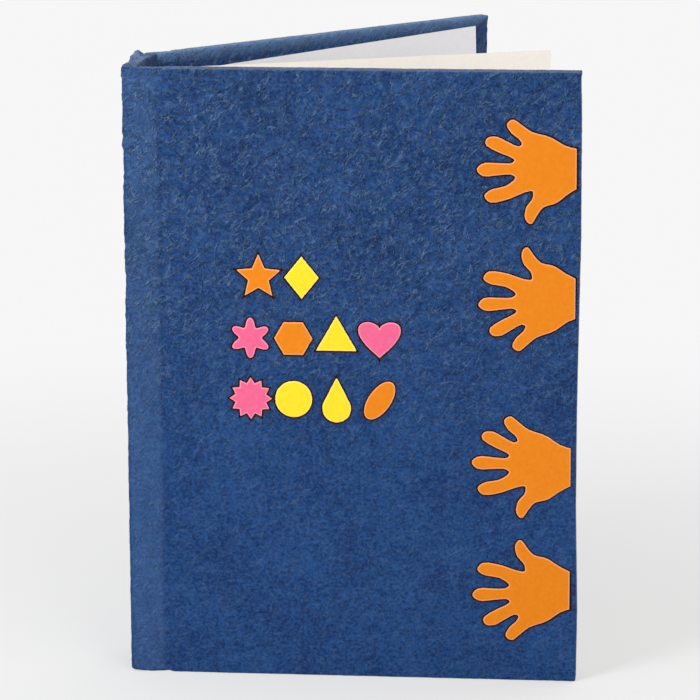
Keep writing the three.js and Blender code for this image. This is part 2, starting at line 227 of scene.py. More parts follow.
# Raised veins, where another such noise is near 0; they are painted lighter, as wear and as a painted highlight
VEIN_SIZE = (0.8 * MM, 1.8 * MM)
VEIN_WIDTH = 0.4
VEIN_HEIGHT = 0.07 * MM
VEIN_WEAR_AND_HIGHLIGHT = 0.2
# The strength of it all at the tail, and what is added towards the head
TAIL_STRENGTH = 0.55
HEAD_STRENGTH = 0.75
CREASE_AREA = 2.6 * MM * MM
# Kinds of creases: up to which share of all, and their mean direction and its spread
CREASE_TURNS = [(0.6, 40, 17), (0.85, 95, 28), (1, -20, 30)]
# One crease, in millimetres
HALF_LENGTH = 0.9
LENGTH_SPREAD = 0.5
LENGTH_LIMITS = (0.4, 3.0)
CREASE_WIDTHS = (0.25, 0.5)
RIDGE_HEIGHT = 0.17
VALLEY_HEIGHT = 0.13
RIDGE_SHARE = 0.72
CREASE_STRENGTHS = (0.3, 1.0)
CREASE_TAPER = 1.5
CREASE_BEND = 0.25


class Crumple:
    """The crinkled covering paper's relief, and its wear with painted highlights on veins and ridges, laid out
    flat: s across, v up.
    """

    def __init__(self, low, high):
        self.low = np.array(low) - MARGIN
        size = (np.array(high) + MARGIN - self.low) / CELL
        self.shape = tuple(int(n) for n in size)
        self.random = np.random.default_rng(CRUMPLE_SEED)
        self.relief = sum(
            strength * MM * self.grain(across * MM, along * MM)
            for strength, across, along in GRAINS)
        veins = 1 - np.minimum(1, np.abs(self.grain(*VEIN_SIZE)) / VEIN_WIDTH)
        self.relief += VEIN_HEIGHT * veins
        self.wear = VEIN_WEAR_AND_HIGHLIGHT * veins
        self.creases()
        up = self.low[1] + np.arange(self.shape[1]) * CELL
        lively = TAIL_STRENGTH + HEAD_STRENGTH * smooth(up, *LIVELY)
        self.relief *= lively
        self.wear *= lively

    def grain(self, across, along):
        """Even noise, about 1 strong, drawn out along one direction."""
        turn = GRAIN_TURN
        white = self.random.standard_normal(self.shape)
        fs = np.fft.fftfreq(self.shape[0], CELL)[:, None]
        fv = np.fft.rfftfreq(self.shape[1], CELL)[None, :]
        fa = fs * cos(turn) + fv * sin(turn)
        fb = -fs * sin(turn) + fv * cos(turn)
        keep = np.exp(-(pi ** 2) * ((fa * along) ** 2 + (fb * across) ** 2))
        made = np.fft.irfft2(np.fft.rfft2(white) * keep, self.shape)
        return made / made.std()

    def creases(self):
        size = np.array(self.shape) * CELL
        count = int(size[0] * size[1] / CREASE_AREA)
        pick = self.random
        for _ in range(count):
            place = pick.uniform(0, 1, 2) * (size - MARGIN) + MARGIN / 2
            kind = pick.uniform()
            mean, spread = next(run for share, *run in CREASE_TURNS if kind < share)
            turn = radians(pick.normal(mean, spread))
            length = pick.lognormal(log(HALF_LENGTH), LENGTH_SPREAD)
            half = float(np.clip(length, *LENGTH_LIMITS)) * MM
            width = pick.uniform(*CREASE_WIDTHS) * MM
            strength = pick.uniform(*CREASE_STRENGTHS)
            rise = strength * (RIDGE_HEIGHT if pick.uniform() < RIDGE_SHARE else -VALLEY_HEIGHT) * MM
            self.press(place, turn, half, width, rise, pick.normal(0, CREASE_BEND))

    def press(self, place, turn, half, width, rise, bend):
        """One short crease: a ridge, or a valley, that tapers out at both ends."""
        reach = int((half + 2 * width) / CELL) + 1
        i, j = (place / CELL).astype(int)
        if min(i, j) < reach or i + reach >= self.shape[0] or j + reach >= self.shape[1]:
            return
        ds, dv = np.mgrid[-reach:reach + 1, -reach:reach + 1] * CELL
        along = (ds * cos(turn) + dv * sin(turn)) / half
        across = -ds * sin(turn) + dv * cos(turn) - bend * half * along ** 2
        taper = np.clip(1 - along ** 2, 0, 1) ** CREASE_TAPER
        ridge = taper * np.clip(1 - np.abs(across) / width, 0, 1)
        window = np.s_[i - reach:i + reach + 1, j - reach:j + reach + 1]
        self.relief[window] += rise * ridge
        # Ridges are painted lighter: wear on their tops, and a painted highlight
        if rise > 0:
            self.wear[window] = np.maximum(self.wear[window], ridge * rise / (RIDGE_HEIGHT * MM))

    def at(self, field, s, v):
        """A field's values between its cells."""
        a = np.clip((s - self.low[0]) / CELL, 0, self.shape[0] - FAR_SIDE)
        b = np.clip((v - self.low[1]) / CELL, 0, self.shape[1] - FAR_SIDE)
        i, j = a.astype(int), b.astype(int)
        p, q = a - i, b - j
        return (
            field[i, j] * (1 - p) * (1 - q) + field[i + 1, j] * p * (1 - q)
            + field[i, j + 1] * (1 - p) * q + field[i + 1, j + 1] * p * q)


CRUMPLE = Crumple(
    (-SPINE_WIDTH - BACK.width - 2 * TURN_IN, -2 * TURN_IN),
    (FRONT.width + 2 * TURN_IN, HEIGHT + 2 * TURN_IN))


# Where the head of the sheet stands up or dips, along the flat sheet, and how far
HEAD_RISE = [
    (-30, 0), (-27, 0.1), (-26, -0.1), (-25.2, -0.2), (-24.4, 1.0), (-23.6, 1.1), (-20, 0.95),
    (-14.2, 1.05), (-12.6, 0.3), (-11.5, -0.35), (-9.7, 0.2), (-6, 0.5), (-2.5, 0.7), (0, 0.5),
    (3, 0.2), (8, 0)]
TAIL_RISE = [(-30, 0), (-25, 0.25), (-20, 0), (-4, 0), (-0.5, 0.45), (3, 0.1), (6, 0)]
HEAD_REACH = 6 * MM
# Between these depths, so much of the rise goes
CAP_LEAN = 1.3
CAP_DEPTHS = (0.6 * MM, 2.4 * MM)
# Further lightening of the spine's head: wear, and a painted highlight of its top in the light from above
CAP_WEAR_AND_HIGHLIGHT = 2.2
CAP_MIDDLE = -18 * MM
CAP_WIDTH = 7 * MM
# How far each cover's fore-edge waves out, by height
FORE_EDGE_WAVES = {
    "front": [
        (0, 0.1), (18, 0.28), (44, -0.28), (70, -0.26), (80, -0.15), (113, 0.34), (144, 0.22),
        (152, 0), (154, 0.25)],
    "back": [(0, 0.2), (60, -0.1), (110, 0.1), (140, 0.3), (151, 0.45), (154, 0.75)],
}
WAVE_REACH = 14 * MM
# Wear, and how closely it keeps to an edge's middle
EDGE_WEAR = 0.25
EDGE_FOCUS = 4
# How many times more a cover's head edge is painted lighter: a painted highlight of the light from above on the
# head edge and on the turn-in below it, down to this reach
HEAD_HIGHLIGHT = {"front": 1.0, "back": 9.0}
HEAD_HIGHLIGHT_REACH = 2.4 * MM
# The joint's paper is painted lighter: fading out before the board, and growing in from the spine's corner over
# this reach
JOINT_LIGHTER = 0.45
JOINT_LIGHTER_END = (8 * MM, 9.4 * MM)
JOINT_LIGHTER_START = 1.2 * MM
# Below 0, the wear says how far a cut edge is browned: a burnt edge, and painted shade of the gap at the windows
WINDOW_BURN_AND_SHADE = -3.0
# How much of the relief is lost on worn edges and on turn-ins
EDGE_CALM = 0.8
RING_CALM = 0.6


def risen(z, across, deep=0.0):
    """Heights with the head cap's bulge, less of it further in, and the tail's small lift."""
    head = np.interp(across / MM, *zip(*HEAD_RISE)) * MM * smooth(z, HEIGHT - HEAD_REACH, HEIGHT)
    tail = np.interp(across / MM, *zip(*TAIL_RISE)) * MM * (1 - smooth(z, 0, HEAD_REACH))
    return z + (head + tail) * (1 - CAP_LEAN * smooth(deep, *CAP_DEPTHS))


class Shell:
    """Points and faces of one piece, with their places on the flat sheet and their wear."""

    def __init__(self):
        self.points = []
        self.sheet = []
        self.wear = []
        self.faces = []
        self.count = 0

    def add(self, points, sheet=None, wear=None):
        points = np.asarray(points, float).reshape(-1, 3)
        self.points.append(points)
        self.sheet.append(np.zeros((len(points), 2)) if sheet is None else sheet)
        self.wear.append(np.zeros(len(points)) if wear is None else wear)
        first = self.count
        self.count += len(points)
        return np.arange(first, self.count)

    def crumpled(self, points, facing, sheet, worn=0.0, calm=0.0):
        """Adds points of the outer side, moved the way they face by the paper's relief, less so where it is worn,
        painted lighter or browned, or glued down flat."""
        across, up = sheet.T
        calm = np.maximum(calm, EDGE_CALM * np.minimum(1, np.abs(worn) / EDGE_WEAR))
        relief = CRUMPLE.at(CRUMPLE.relief, across, up) * (1 - calm)
        wear = CRUMPLE.at(CRUMPLE.wear, across, up) + worn
        return self.add(points + facing * relief[:, None], sheet, wear)

    def grid(self, ids, closed=False):
        """Quads over a table of point numbers. Where a side has no length, a triangle."""
        ids = np.asarray(ids)
        if closed:
            ids = np.hstack([ids, ids[:, :1]])
        a, b, c, d = ids[:-1, :-1], ids[:-1, 1:], ids[1:, 1:], ids[1:, :-1]
        for face in np.stack([a, b, c, d], axis=-1).reshape(-1, 4).tolist():
            face = list(dict.fromkeys(face))
            if len(face) > 2:
                self.faces.append(face)

    def two_sides(self, sides):
        """A sheet's two sides, each a table of point numbers, and the edge round them."""
        for side in sides:
            self.grid(side)
        self.grid([around(side) for side in sides], closed=True)

    def triangles(self, ids, triangles):
        self.faces.extend(np.asarray(ids)[np.asarray(triangles)].tolist())

    def piece(self, name, material):
        mesh = bpy.data.meshes.new(name)
        points = np.vstack(self.points)
        mesh.from_pydata(points.tolist(), [], self.faces)
        sheet = np.column_stack([np.vstack(self.sheet), np.zeros(len(points))])
        stored = mesh.attributes.new("sheet", "FLOAT_VECTOR", "POINT")
        stored.data.foreach_set("vector", sheet.astype(np.float32).ravel())
        stored = mesh.attributes.new("wear", "FLOAT", "POINT")
        stored.data.foreach_set("value", np.concatenate(self.wear).astype(np.float32))
        face_out(mesh)
        mesh.shade_smooth()
        mesh.set_sharp_from_angle(angle=SHARP)
        mesh.materials.append(FINISHES[material])
        made = put_in(name, mesh)
        return made


def face_out(mesh):
    """Turns every face outwards."""
    work = bmesh.new()
    work.from_mesh(mesh)
    bmesh.ops.recalc_face_normals(work, faces=work.faces)
    work.to_mesh(mesh)
    work.free()


# Flat regions
# Distances are measured up to this one, to so many points at a time
NEAR = 2 * MM
BATCH = 100
# A grid keeps this share of a step from its outline
CLEAR = 0.55
MERGED = 1e-7
FLAT = 0.001 * MM


def parts(length, step):
    return max(1, ceil(length / step))


def spaced(start, end, step=STEP):
    """Evenly spaced numbers with both ends, about a step apart."""
    return np.linspace(start, end, parts(abs(end - start), step) + 1)


def finer(loop, step=STEP):
    """A closed outline with its long sides divided."""
    made = []
    for here, after in zip(loop, np.roll(loop, -1, axis=0)):
        count = parts(norm(after - here), step)
        made.extend(here + (after - here) * i / count for i in range(count))
    return np.array(made)


def inside(loop, points):
    """Which points lie in a closed outline."""
    x, z = points.T
    odd = np.zeros(len(points), bool)
    for (ax, az), (bx, bz) in zip(loop, np.roll(loop, -1, axis=0)):
        crosses = (az > z) != (bz > z)
        at = ax + (z - az) * (bx - ax) / (1 if bz == az else bz - az)
        odd ^= crosses & (x < at)
    return odd


def boxed(loop, points, margin=0.0):
    """Which points lie in an outline's box, or near it."""
    low, high = loop.min(axis=0) - margin, loop.max(axis=0) + margin
    return np.all((points > low) & (points < high), axis=1)


def gaps(points, fixed):
    """Each point's distance to the nearest fixed point."""
    made = np.full(len(points), np.inf)
    for part in np.array_split(fixed, max(1, len(fixed) // BATCH)):
        near = np.flatnonzero(boxed(part, points, NEAR))
        if len(near):
            found = norm(points[near][:, None] - part[None], axis=2).min(axis=1)
            made[near] = np.minimum(made[near], found)
    return made


def within(border, holes, points):
    """Which points lie in a region."""
    good = inside(border, points)
    for hole in holes:
        near = np.flatnonzero(boxed(hole, points))
        good[near] &= ~inside(hole, points[near])
    return good


def filled(border, holes, step):
    """Triangles of a flat region. Its points are the border's, the holes' and then a grid's."""
    loops = [border, *holes]
    fixed = np.vstack(loops)
    sides, first = [], 0
    for loop in loops:
        count = len(loop)
        sides.extend((first + i, first + (i + 1) % count) for i in range(count))
        first += count
    low, high = border.min(axis=0), border.max(axis=0)
    x, z = np.meshgrid(
        spaced(low[0], high[0], step)[1:-1], spaced(low[1], high[1], step)[1:-1], indexing="ij")
    grid = np.stack([x.ravel(), z.ravel()], axis=1)
    grid = grid[within(border, holes, grid)]
    grid = grid[gaps(grid, fixed) > min(CLEAR * step, NEAR)]
    flat = np.vstack([fixed, grid])
    made = delaunay_2d_cdt([Vector(p) for p in flat / MM], sides, [], 0, MERGED, True)
    kept = np.array([ids[0] if ids else -1 for ids in made[3]])
    triangles = kept[np.array(made[2])]
    triangles = triangles[(triangles >= 0).all(axis=1)]
    return flat, triangles[within(border, holes, flat[triangles].mean(axis=1))]


def face_loops(node, cover):
    """The outlines, as (x, z) in the cover's axes, of what lies flat in a node's outer face.
    The longest comes first."""
    places = cover.own(corners(node))
    top = places[:, 1].min()
    edges = {}
    for face in frame["nodes"][node].data.polygons:
        ring = places[list(face.vertices)]
        if np.abs(ring[:, 1] - top).max() > FLAT:
            continue
        keys = [(round(x / MM, 3), round(z / MM, 3)) for x, _, z in ring]
        for a, b in zip(keys, keys[1:] + keys[:1]):
            if not edges.pop((b, a), False):
                edges[(a, b)] = True
    after = dict(edges.keys())
    loops = []
    while after:
        loop, here = [], next(iter(after))
        while here in after:
            loop.append(here)
            here = after.pop(here)
        loops.append(np.array(loop) * MM)
    return sorted(loops, key=lambda loop: -np.ptp(loop, axis=0).sum())


def fold_profile(thickness, radius):
    """How a sheet goes round an edge, row by row: how far out and how deep it is, how much it
    faces out and in there, and its length so far."""
    high = np.minimum(radius, thickness / 2)
    rows = []
    bend = [(cos(a), sin(a)) for a in np.linspace(0, pi / 2, BEND_ROWS + 1)]
    for c, s in bend:
        rows.append((radius * s, high * (1 - c), s, -c))
    for share in np.linspace(0, 1, WALL_ROWS + 1)[1:-1]:
        rows.append((radius, high + share * (thickness - 2 * high), 1, 0))
    for c, s in bend:
        rows.append((radius * c, thickness - high * (1 - s), c, s))
    rows = [np.broadcast_arrays(*row) for row in rows]
    out, deep, facing_out, facing_in = np.array(rows).transpose(1, 0, 2)
    steps_taken = np.hypot(np.diff(out, axis=0), np.diff(deep, axis=0))
    length = np.vstack([0 * out[:1], np.cumsum(steps_taken, axis=0)])
    return out, deep, facing_out, facing_in, length


def around(table):
    """The point numbers round a table's border."""
    return np.r_[table[0], table[1:-1, -1], table[-1, ::-1], table[-2:0:-1, 0]]


def rim_path(cover):
    """The face's border from the seam along the tail, up the fore-edge and back along the
    head, and the way out at each point. Corners repeat their point and fan out."""
    low, right, high = EDGE_RADIUS, cover.width - EDGE_RADIUS, HEIGHT - EDGE_RADIUS
    across = spaced(cover.seam, right)
    up = spaced(low, high)
    fan = np.linspace(0, pi / 2, CORNER_FAN + 1)[1:-1]
    square = (np.cos(fan) ** 4 + np.sin(fan) ** 4) ** 0.25
    more, less = np.sin(fan) / square, np.cos(fan) / square
    places = [(x, low) for x in across] + [(right, low)] * len(fan)
    ways = [(0, -1)] * len(across) + list(zip(more, -less))
    places += [(right, z) for z in up] + [(right, high)] * len(fan)
    ways += [(1, 0)] * len(up) + list(zip(less, more))
    places += [(x, high) for x in across[::-1]]
    ways += [(0, 1)] * len(across)
    return np.array(places), np.array(ways, float)


def cover_skin(shell, cover, windows, offset, step):
    """One side of a cover's paper: the face, the fold round three edges and the turned-in
    ring. The outer side has offset 0; the inner side lies in by that much. Returns the
    numbers of the points at the windows, the seam and the ring's end."""
    rim, ways = rim_path(cover)
    fresh = np.r_[True, np.any(np.diff(rim, axis=0) != 0, axis=1)]
    unique = np.cumsum(fresh) - 1
    start = rim[fresh]
    right, high = cover.width - EDGE_RADIUS, HEIGHT - EDGE_RADIUS
    border = np.vstack([start, [(cover.seam, z) for z in spaced(EDGE_RADIUS, high)[-2:0:-1]]])
    flat, triangles = filled(border, windows, step)

    def put(x, y, z, facing, sheet, worn):
        wave = np.interp(z / MM, *zip(*FORE_EDGE_WAVES[cover.name])) * MM
        moved = x + wave * smooth(x, cover.width - WAVE_REACH, cover.width)
        points = np.stack([moved, y, risen(z, sheet[:, 0])], axis=1)
        placed = cover.place(points)
        if offset:
            return shell.add(placed, sheet)
        turned = cover.place(points + facing * MM) - placed
        return shell.crumpled(placed, turned / MM, sheet, worn)

    x, z = flat.T
    # The joint is painted lighter, fading out before the board
    worn = JOINT_LIGHTER * (1 - smooth(x, *JOINT_LIGHTER_END))
    # Window edges: browned, and painted shade of the gap
    worn[len(border):len(border) + sum(len(window) for window in windows)] = WINDOW_BURN_AND_SHADE
    face = put(x, cover.sunk(x) + offset, z, -INWARD, cover.sheet(x, z), worn)
    shell.triangles(face, triangles)

    x, z = rim.T
    total = cover.depth(x) - 2 * offset
    out, deep, facing_out, facing_in, length = fold_profile(total, EDGE_RADIUS - offset)
    rows = [face[unique]]
    # Painted highlight: the head edge, and the turn-in below it, are painted lighter for the light from above
    head_highlight = HEAD_HIGHLIGHT[cover.name] - 1
    # 1 where the way out is up, along the head, and 0 elsewhere
    head = smooth(ways[:, 1], 0.5, 1)
    for k in range(1, len(out) - 1):
        at = rim + ways * out[k][:, None]
        # Along the head, the inner half of the fold is painted lighter as well: painted highlight
        weight = np.maximum(facing_out[k] ** EDGE_FOCUS, head * (k > len(out) / 2))
        facing = np.stack(
            [ways[:, 0] * facing_out[k], facing_in[k], ways[:, 1] * facing_out[k]], axis=1)
        sheet = cover.sheet(*(rim + ways * length[k][:, None]).T)
        rows.append(put(at[:, 0], cover.sunk(x) + offset + deep[k], at[:, 1], facing, sheet,
                        EDGE_WEAR * weight * (1 + head_highlight * head)))
    ways, before = ways[fresh], length[-1][fresh]
    ring = []
    for distance in RING_STEPS:
        x = cover.seam + (start[:, 0] - cover.seam) * (1 - distance / (right - cover.seam))
        z = HEIGHT / 2 + (start[:, 1] - HEIGHT / 2) * (1 - distance / (high - HEIGHT / 2))
        y = cover.sunk(x) + cover.depth(x, distance) - offset
        sheet = cover.sheet(*(start + ways * (before + distance)[:, None]).T)
        # Painted highlight on the turn-in below the head edge, fading with the distance from it
        worn = EDGE_WEAR * head_highlight * (1 - smooth(distance, 0, HEAD_HIGHLIGHT_REACH))
        ring.append(put(x, y, z, INWARD, sheet, worn * head[fresh]))
    rows.append(ring[0][unique])
    shell.grid(rows)
    shell.grid(ring)
    seam_tail = [r[0] for r in ring[::-1]] + [r[0] for r in rows[-2:0:-1]]
    seam_head = [r[-1] for r in rows[1:-1]] + [r[-1] for r in ring]
    side = face[np.r_[0, len(border) - 1:len(start) - 1:-1, len(start) - 1]]
    holes, first = [], len(border)
    for window in windows:
        holes.append(face[first:first + len(window)])
        first += len(window)
    return holes, [*seam_tail, *side, *seam_head], ring[-1]


def cover_paper(cover, windows):
    """The covering paper of one cover, from the seam on: a closed thin shell."""
    shell = Shell()
    outer = cover_skin(shell, cover, windows, 0.0, STEP)
    inner = cover_skin(shell, cover, windows, PAPER, COARSE)
    for above, below in zip(outer[0], inner[0]):
        shell.grid([above, below], closed=True)
    shell.grid([outer[1], inner[1]])
    shell.grid([outer[2], inner[2]])
    made = shell.piece(f"{cover.name}_crinkled_paper", "blue_paper")
    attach(made, f"{cover.name}_cover")
    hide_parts(f"{cover.name}_cover_paper")


def corner_section(cover, u):
    """Across one corner of the spine, from the spine, u below 0, to the cover, u above 0: the
    outer face's place and the way it faces."""
    u = u[:, None]
    t = np.clip((u + CORNER_RADIUS) / (2 * CORNER_RADIUS), 0, 1)
    a, b = cover.to_spine * CORNER_RADIUS, cover.along * CORNER_RADIUS
    arc = (1 - t) ** 2 * a + t ** 2 * b
    straight = np.where(u < 0, -u * cover.to_spine, u * cover.along)
    place = np.where(np.abs(u) < CORNER_RADIUS, arc, straight) + cover.corner
    run = (1 - t) * -a + t * b
    out = np.stack([run[:, 1], -run[:, 0], 0 * run[:, 0]], axis=1) * cover.side
    return place, out / norm(out, axis=1)[:, None]


def strip_skin(shell, places, out, depths, across, lighter_face, offset):
    """One side of a strip that runs from the tail's turn-in over the face to the head's.
    depths gives, at a distance from head or tail, the way from the outer face to the inner."""
    to_inner = depths(0.0)
    total = norm(to_inner, axis=1)
    way = to_inner / total[:, None]
    profile = fold_profile(total - 2 * offset, EDGE_RADIUS - offset)
    folds = list(zip(*profile))
    low, high = EDGE_RADIUS, HEIGHT - EDGE_RADIUS
    cap = np.exp(-(((across - CAP_MIDDLE) / CAP_WIDTH) ** 2))
    rows = []

    def put(plan, z, facing, run, deep=0.0, worn=0.0, calm=0.0):
        sheet = np.stack([across, run + 0 * across], axis=1)
        points = plan + np.outer(risen(z, across, deep), UP)
        if offset:
            rows.append(shell.add(points, sheet))
        else:
            rows.append(shell.crumpled(points, facing, sheet, worn, calm))

    def ring(edge, fold, steps):
        for distance in steps:
            inner = depths(distance)
            deep = norm(inner, axis=1)[:, None]
            facing = inner / deep
            run = edge + fold * (folds[-1][4] + distance)
            put(places + facing * (deep - offset), edge - fold * distance, facing, run,
                total, calm=RING_CALM)

    def turn(edge, fold, rows_of_fold):
        for out_by, deep, facing_out, facing_in, length in rows_of_fold:
            facing = way * facing_in[:, None] + np.outer(fold * facing_out, UP)
            plan = places + way * (offset + deep)[:, None]
            # Edge wear, and on the spine's head more of it: wear and a painted highlight of the top in the light
            # from above
            wear_and_highlight = EDGE_WEAR + CAP_WEAR_AND_HIGHLIGHT * (fold > 0) * cap
            put(plan, edge + fold * out_by, facing, edge + fold * length, deep,
                wear_and_highlight * facing_out ** EDGE_FOCUS)

    ring(low, -1, RING_STEPS[:0:-1])
    turn(low, -1, folds[:0:-1])
    for z in spaced(low, high):
        put(places + way * offset, z, out, z, worn=lighter_face)
    turn(high, 1, folds[1:])
    ring(high, 1, RING_STEPS[1:])
    return np.array(rows)


def strip_piece(name, places, out, depths, across, lighter_face=0.0):
    shell = Shell()
    shell.two_sides([
        strip_skin(shell, places, out, depths, across, lighter_face, offset)
        for offset in (0.0, PAPER)])
    return shell.piece(name, "blue_paper")


def spine_paper():
    """The covering paper over the spine between the two seams."""
    y = spaced(FRONT.corner[1] + SEAM, BACK.corner[1] - SEAM, SPINE_STEP)
    places = np.stack([0 * y + SPINE_LOW.x, y, 0 * y], axis=1)
    out = np.tile([-1.0, 0.0, 0.0], (len(y), 1))

    def depths(distance):
        return -out * SPINE_DEPTH

    made = strip_piece("spine_crinkled_paper", places, out, depths, FRONT.corner[1] - y)
    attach(made, "spine_and_block")
    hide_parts("spine_paper")


def corner_paper(cover):
    """The strip of paper over one corner of the spine."""
    u = spaced(-SEAM, SEAM, CORNER_STEP)
    places, out = corner_section(cover, u)
    share = ((u + SEAM) / (2 * SEAM))[:, None]
    near = cover.corner + SEAM * cover.to_spine + np.array([SPINE_DEPTH, 0, 0])

    def depths(distance):
        deep = cover.depth(np.array([cover.seam]), distance)[0]
        far = cover.corner + SEAM * cover.along + deep * cover.inward
        return near + (far - near) * share - places

    across = u if cover.side > 0 else -SPINE_WIDTH - u
    lighter_face = JOINT_LIGHTER * smooth(u, 0, JOINT_LIGHTER_START)
    made = strip_piece(f"{cover.name}_joint_paper", places, out, depths, across, lighter_face)
    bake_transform(made)


# Card figures
INLAY_STEP = 0.22 * MM
FOOT_STEP = 10 * COARSE
EASE_DEPTH = 0.1 * MM
EASE_WIDTH = 0.3 * MM


def inlay(name, finish):
    """One card figure, set a little below the paper, its cut edge eased; its material browns the edge, with
    painted shade of the gap, and paints a highlight beside it.
    """
    depths = FRONT.own(corners(name))[:, 1]
    top, bottom = depths.min(), depths.max()
    outline = finer(face_loops(name, FRONT)[0], INLAY_STEP)
    flat, triangles = filled(outline, [], INLAY_STEP)
    shell = Shell()
    gap = np.minimum(gaps(flat, outline), NEAR)
    eased = EASE_DEPTH * (1 - smooth(gap, 0, EASE_WIDTH))
    face = shell.add(FRONT.place(np.insert(flat, 1, top + eased, axis=1)), flat, gap / MM)
    shell.triangles(face, triangles)
    foot = shell.add(FRONT.place(np.insert(outline, 1, bottom, axis=1)))
    shell.grid([face[:len(outline)], foot], closed=True)
    _, triangles = filled(outline, [], FOOT_STEP)
    shell.triangles(foot, triangles)
    made = shell.piece(name.replace("_inlay", "_card"), finish)
    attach(made, "front_cover")
    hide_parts(name)


# Endpapers and leaves
LEAF = 0.24 * MM
LEAF_LOW, LEAF_HIGH = (c.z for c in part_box("signature_1"))
LEAF_POINTS = 40
LEAF_JOINTS = {row["child"]: row["pos_m"] for row in frame["joints"]}
# Where the back cover's loose leaf heads, at its root and at its fore-edge, in degrees
BACK_LEAF_ANGLES = (20.6, 21.8)
# Distances of points along lines, and of their rows
LINE_STEP = 0.4 * MM
GLUED_STEP = 2.5 * MM
GLUED_ROWS = 3 * MM
GUTTER_ROWS = 12 * MM
LEAF_ROWS = 6 * MM
SECTION_ROWS = 20 * MM
# Where the glued sheet begins in the joint
GLUED_START = 6.6 * MM
GLUED_DEPTH = 1.35 * MM
PASTEDOWN_MARGIN = 2.2 * MM
PASTEDOWN_DROPS = {"front": 0.0, "back": 0.85 * MM}
# Distances from its inner end, between which it comes to lie askew
ASKEW = (2 * MM, 9 * MM)
# How far its head sinks there, and where that fades out
GUTTER_DIP = 2.6 * MM
DIP_FADE = (2 * MM, 22 * MM)
# Its slight waves
WAVE = 0.05 * MM
WAVE_LENGTHS = (17 * MM, 29 * MM, 13 * MM)
WAVE_START = (12 * MM, 20 * MM)
# The gutter's way from there, and how it hangs before the leaf's root
GUTTER_RUN = 1.2 * MM
GUTTER_DEPTH = 1.5 * MM
SLACK_OUT = 0.45 * MM
SLACK_ASIDE = 1.6 * MM
# Sections of folded sheets, and how unevenly they are trimmed, in millimetres
SIGNATURES = sum(name.startswith("signature_") for name in frame["nodes"])
SHEETS = 3
SHEET = 0.17 * MM
FOLD_POINTS = 9
HALF_POINTS = 12
FORE_EDGE_TRIM = (-0.25, 0.05)
HEAD_TRIM = (0, 0.12)
TRIM_SEED = 5


def flowing(points, step):
    """A smooth line through points, with its own points about a step apart."""
    points = np.asarray(points, float)
    before = np.vstack([2 * points[0] - points[1], points[:-2]])
    after = np.vstack([points[2:], 2 * points[-1] - points[-2]])
    made = []
    for p0, p1, p2, p3 in zip(before, points[:-1], points[1:], after):
        count = parts(norm(p2 - p1), step)
        t = (np.arange(count) / count)[:, None]
        made.append(0.5 * (
            2 * p1 + (p2 - p0) * t + (2 * p0 - 5 * p1 + 4 * p2 - p3) * t ** 2
            + (3 * p1 - p0 - 3 * p2 + p3) * t ** 3))
    return np.vstack([*made, points[-1:]])


def lay_sheet(shell, middle, thickness=LEAF):
    """A thin closed sheet about a table of middle places, rows by columns."""
    across = np.cross(np.gradient(middle, axis=0), np.gradient(middle, axis=1))
    across *= thickness / 2 / norm(across, axis=2)[:, :, None]
    shell.two_sides([
        shell.add(middle + way * across).reshape(middle.shape[:2]) for way in (1, -1)])


def upright(line, low, high, step):
    """A table of places: a plan line repeated from low to high."""
    z = spaced(low, high, step)
    table = np.zeros((len(z), len(line), 3))
    table[:, :, :2] = line
    table[:, :, 2] = z[:, None]
    return table


def over_board(cover):
    """The glued sheet's line, as (x, y) in the cover's axes: along the joint, over the board's
    hinge edge and on to its inner face."""
    board, face = cover.thickness / MM, (cover.thickness + LEAF) / MM
    points = [
        (GLUED_START / MM, GLUED_DEPTH / MM), (8.3, 1.6), (9.3, 2.1), (9.8, 0.5 * board + 0.6),
        (10.15, board - 0.4), (10.8, face), (12.5, face), (16, face)]
    return flowing(MM * np.array(points), LINE_STEP)


def pastedown(cover, finish):
    """The glued half of an endpaper: over the board, down its hinge edge and along the joint.
    Where its node lies askew, so does the sheet, less and less towards the joint."""
    node = f"{cover.name}_pastedown"
    outline = face_loops(node, cover)[0]
    sides = np.roll(outline, -1, axis=0) - outline
    longest = sides[np.argmax(np.abs(sides[:, 1]))]
    slope = longest[0] / longest[1]
    line = over_board(cover)
    run = np.r_[0, np.cumsum(norm(np.diff(line, axis=0), axis=1))]
    rest = cover.width - PASTEDOWN_MARGIN - line[-1, 0]
    along = np.r_[run, run[-1] + spaced(0, rest, GLUED_STEP)[1:]]
    up = spaced(LEAF_LOW, LEAF_HIGH, GLUED_ROWS)[:, None]
    askew = smooth(along, *ASKEW)
    flat = along + slope * ((up - HEIGHT / 2) * askew)
    high = up - slope * (along - along[-1] / 2) * askew - PASTEDOWN_DROPS[cover.name]
    high -= GUTTER_DIP * (1 - smooth(along, *DIP_FADE)) * smooth(up, HEIGHT / 2, HEIGHT)
    bent = flat < run[-1]
    x = np.where(bent, np.interp(flat, run, line[:, 0]), line[-1, 0] + flat - run[-1])
    y = np.where(bent, np.interp(flat, run, line[:, 1]), cover.thickness + LEAF)
    across, beside, upward = WAVE_LENGTHS
    waves = np.sin(x / across + up / beside) + np.sin(up / upward)
    y += WAVE * (1 + waves / 2) * smooth(x, *WAVE_START)
    table = cover.place(np.stack([x.ravel(), y.ravel(), high.ravel()], axis=1))
    shell = Shell()
    lay_sheet(shell, table.reshape(*x.shape, 3))
    made = shell.piece(f"{cover.name}_endpaper", finish)
    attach(made, f"{cover.name}_cover")
    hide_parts(node)


